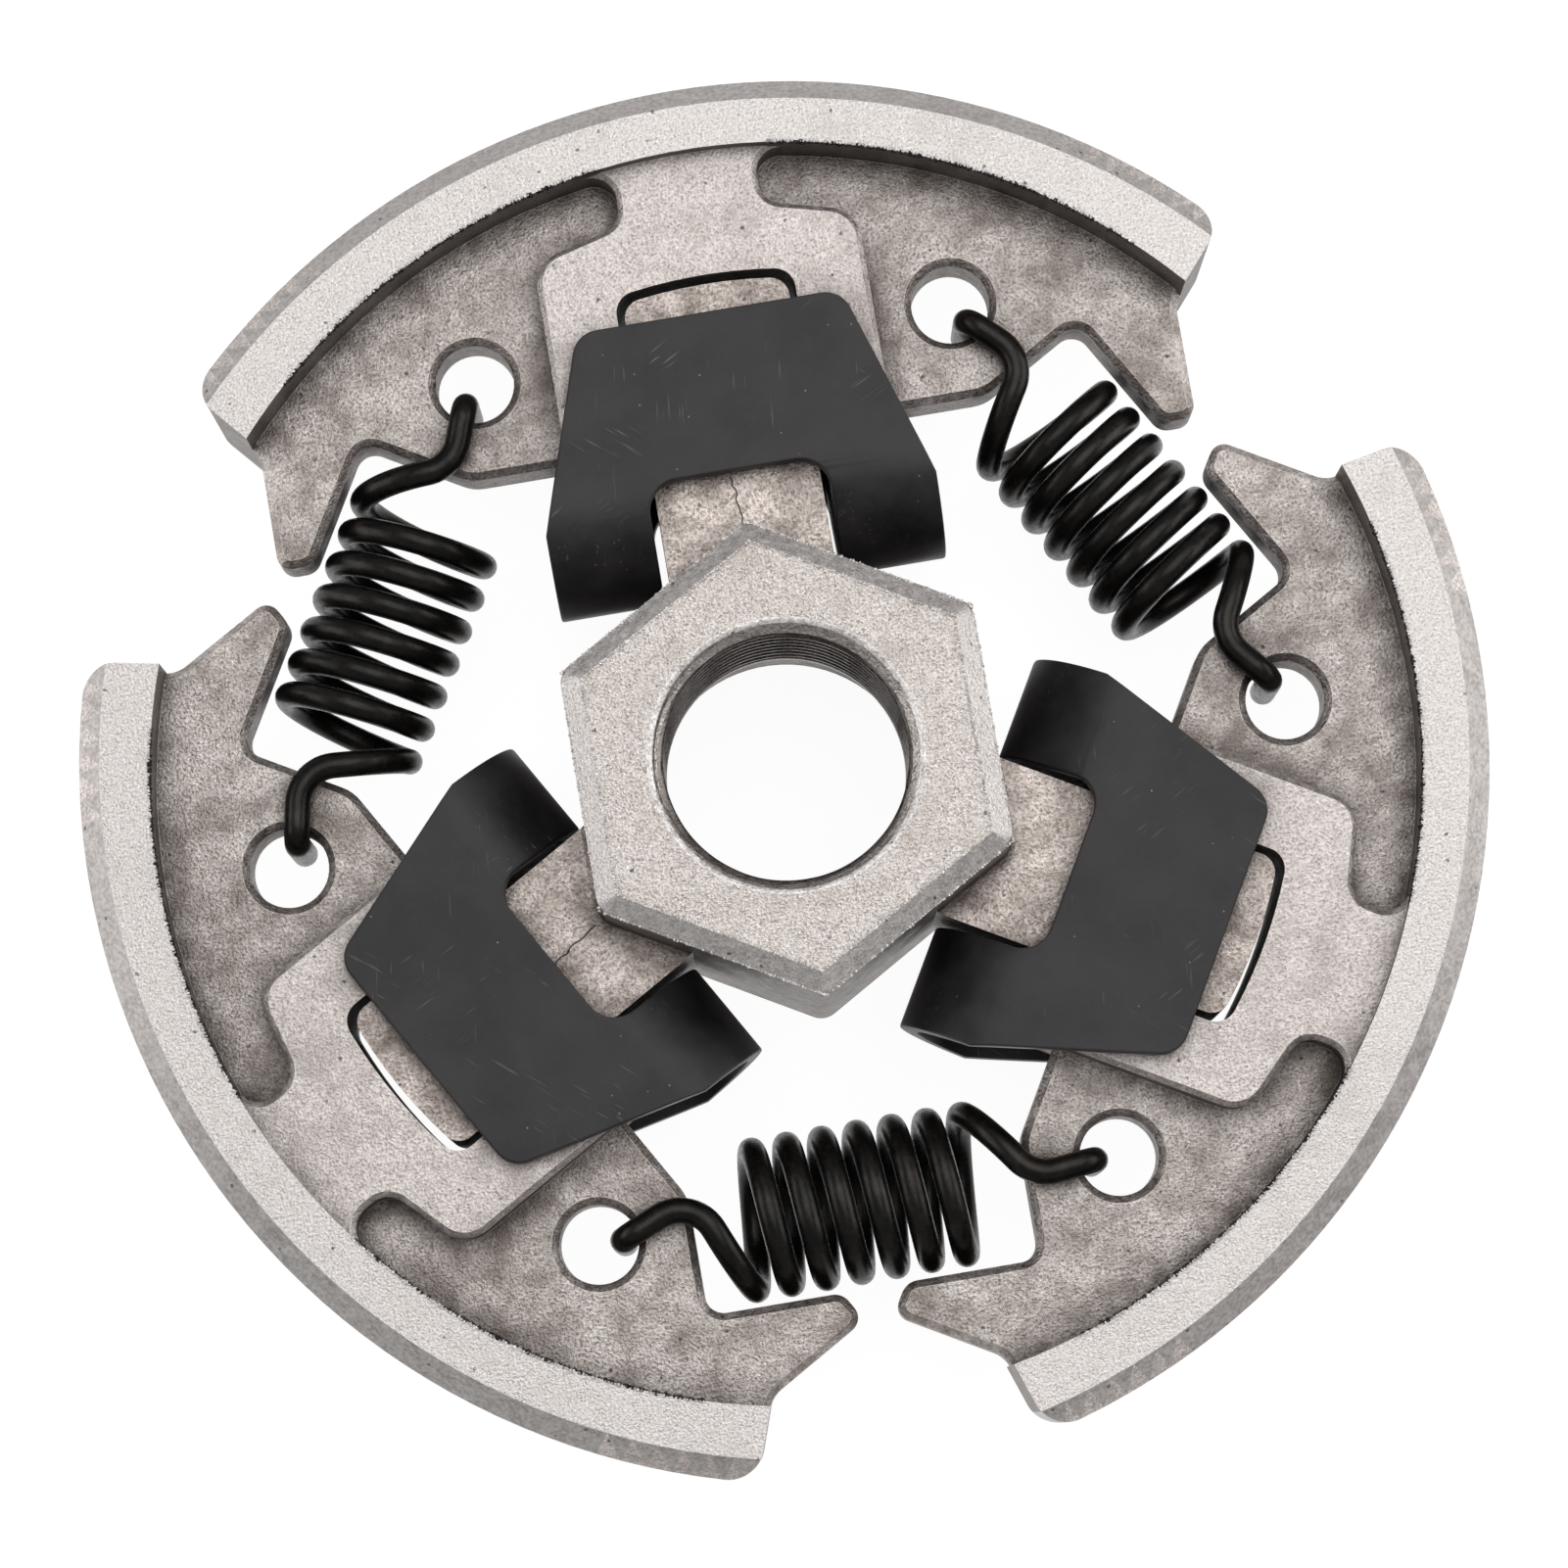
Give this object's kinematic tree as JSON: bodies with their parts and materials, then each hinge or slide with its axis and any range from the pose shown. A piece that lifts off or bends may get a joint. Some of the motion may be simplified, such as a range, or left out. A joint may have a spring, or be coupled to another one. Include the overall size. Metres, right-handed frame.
{
  "type": "chainsaw clutch",
  "caption": "Centrifugal clutch with a hexagon hub, sliding shoes on radial arms, sheet retainers and tension springs, which grips a saw's drum as it spins.",
  "frame": {"origin": "on the axis of the threaded bore, at the hub's flat back face", "axes": "+Z along the bore's axis to the hexagon's front; +Y along the arm of shoe 1; +X to its right"},
  "size_m": [0.0646, 0.0637, 0.0165],
  "materials": {
    "sintered_steel": "as sintered, fine grain, bare",
    "blackened_sheet": "black oxide, matt, scratched",
    "spring_wire": "black oxide, satin"
  },
  "bodies": {
    "carrier": {"carrier": "sintered_steel", "spring_1": "spring_wire", "spring_2": "spring_wire", "spring_3": "spring_wire"},
    "shoe_1": {"shoe_1": "sintered_steel", "retainer_1": "blackened_sheet"},
    "shoe_2": {"shoe_2": "sintered_steel", "retainer_2": "blackened_sheet"},
    "shoe_3": {"shoe_3": "sintered_steel", "retainer_3": "blackened_sheet"}
  },
  "joints": [
    {"name": "shoe_1_slide", "type": "slide", "parent": "carrier", "child": "shoe_1", "axis": [0, 1, 0], "range_m": [0, 0.0015], "stiffness_N_per_m": 15000, "springref_m": -0.002, "deforming": ["spring_1", "spring_3"]},
    {"name": "shoe_2_slide", "type": "slide", "parent": "carrier", "child": "shoe_2", "axis": [0.866, -0.5, 0], "range_m": [0, 0.0015], "stiffness_N_per_m": 15000, "springref_m": -0.002, "deforming": ["spring_1", "spring_2"]},
    {"name": "shoe_3_slide", "type": "slide", "parent": "carrier", "child": "shoe_3", "axis": [-0.866, -0.5, 0], "range_m": [0, 0.0015], "stiffness_N_per_m": 15000, "springref_m": -0.002, "deforming": ["spring_2", "spring_3"]}
  ]
}
